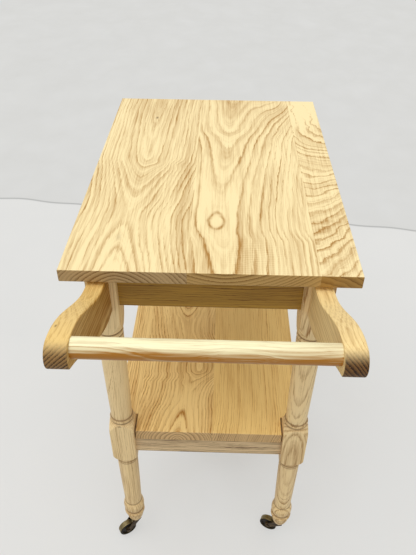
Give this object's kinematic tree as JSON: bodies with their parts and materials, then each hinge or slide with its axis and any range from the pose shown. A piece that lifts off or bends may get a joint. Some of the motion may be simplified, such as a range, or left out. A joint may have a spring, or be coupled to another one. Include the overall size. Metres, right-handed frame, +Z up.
{
  "type": "butcher block table on casters",
  "caption": "Narrow rectangular wooden work table on turned legs with swivel casters, a low shelf under a wide glued-up top, and a raised round push handle on curved brackets at one end.",
  "frame": {"origin": "on the floor under the middle of the whole object's plan, handle included", "axes": "+Z up; +Y from the handle end towards the far end; +X to the right of a person at the handle"},
  "size_m": [0.45, 0.869, 0.887],
  "materials": {
    "ash_top": "pale ash, clear satin oil",
    "ash_leg": "pale ash, clear satin oil",
    "ash_apron": "pale ash, clear satin oil",
    "ash_rail": "pale ash, clear satin oil",
    "ash_shelf": "pale ash, clear satin oil",
    "ash_bracket": "pale ash, clear satin oil",
    "ash_handle": "pale ash, clear satin oil",
    "ash_hidden": "pale ash, clear satin oil",
    "steel_screw": "zinc plated",
    "caster_brass": "dark antique brass",
    "wheel_brass": "dark antique brass"
  },
  "bodies": {
    "table": {"top_board_left": "ash_top", "top_board_middle": "ash_top", "top_board_right": "ash_top", "leg_front_left": "ash_leg", "leg_front_right": "ash_leg", "leg_back_left": "ash_leg", "leg_back_right": "ash_leg", "apron_front": "ash_apron", "apron_back": "ash_apron", "apron_left": "ash_apron", "apron_right": "ash_apron", "rail_front": "ash_rail", "rail_back": "ash_rail", "rail_left": "ash_rail", "rail_right": "ash_rail", "shelf_board_left": "ash_shelf", "shelf_board_middle": "ash_shelf", "shelf_board_right": "ash_shelf", "handle_bracket_left": "ash_bracket", "handle_bracket_right": "ash_bracket", "handle_rail": "ash_handle", "top_buttons": "ash_hidden", "bracket_dowels": "ash_hidden", "top_button_screws": "steel_screw", "shelf_screws": "steel_screw", "caster_socket_front_left": "caster_brass", "caster_socket_front_right": "caster_brass", "caster_socket_back_left": "caster_brass", "caster_socket_back_right": "caster_brass"},
    "caster_swivel_front_left": {"caster_stem_front_left": "caster_brass", "caster_horn_front_left": "caster_brass", "caster_axle_front_left": "caster_brass"},
    "caster_wheel_front_left": {"caster_wheel_front_left": "wheel_brass"},
    "caster_swivel_front_right": {"caster_stem_front_right": "caster_brass", "caster_horn_front_right": "caster_brass", "caster_axle_front_right": "caster_brass"},
    "caster_wheel_front_right": {"caster_wheel_front_right": "wheel_brass"},
    "caster_swivel_back_left": {"caster_stem_back_left": "caster_brass", "caster_horn_back_left": "caster_brass", "caster_axle_back_left": "caster_brass"},
    "caster_wheel_back_left": {"caster_wheel_back_left": "wheel_brass"},
    "caster_swivel_back_right": {"caster_stem_back_right": "caster_brass", "caster_horn_back_right": "caster_brass", "caster_axle_back_right": "caster_brass"},
    "caster_wheel_back_right": {"caster_wheel_back_right": "wheel_brass"}
  },
  "joints": [
    {"name": "swivel_front_left", "type": "hinge", "parent": "table", "child": "caster_swivel_front_left", "pos_m": [-0.172, -0.1725, 0.05], "axis": [0, 0, 1], "continuous": true},
    {"name": "roll_front_left", "type": "hinge", "parent": "caster_swivel_front_left", "child": "caster_wheel_front_left", "pos_m": [-0.19297, -0.18612, 0.0205], "axis": [0.5446, -0.8387, 0], "continuous": true},
    {"name": "swivel_front_right", "type": "hinge", "parent": "table", "child": "caster_swivel_front_right", "pos_m": [0.172, -0.1725, 0.05], "axis": [0, 0, 1], "continuous": true},
    {"name": "roll_front_right", "type": "hinge", "parent": "caster_swivel_front_right", "child": "caster_wheel_front_right", "pos_m": [0.14899, -0.16273, 0.0205], "axis": [-0.3907, -0.9205, 0], "continuous": true},
    {"name": "swivel_back_left", "type": "hinge", "parent": "table", "child": "caster_swivel_back_left", "pos_m": [-0.172, 0.3815, 0.05], "axis": [0, 0, 1], "continuous": true},
    {"name": "roll_back_left", "type": "hinge", "parent": "caster_swivel_back_left", "child": "caster_wheel_back_left", "pos_m": [-0.19365, 0.394, 0.0205], "axis": [-0.5, -0.866, 0], "continuous": true},
    {"name": "swivel_back_right", "type": "hinge", "parent": "table", "child": "caster_swivel_back_right", "pos_m": [0.172, 0.3815, 0.05], "axis": [0, 0, 1], "continuous": true},
    {"name": "roll_back_right", "type": "hinge", "parent": "caster_swivel_back_right", "child": "caster_wheel_back_right", "pos_m": [0.14916, 0.37133, 0.0205], "axis": [0.4067, -0.9135, 0], "continuous": true}
  ]
}
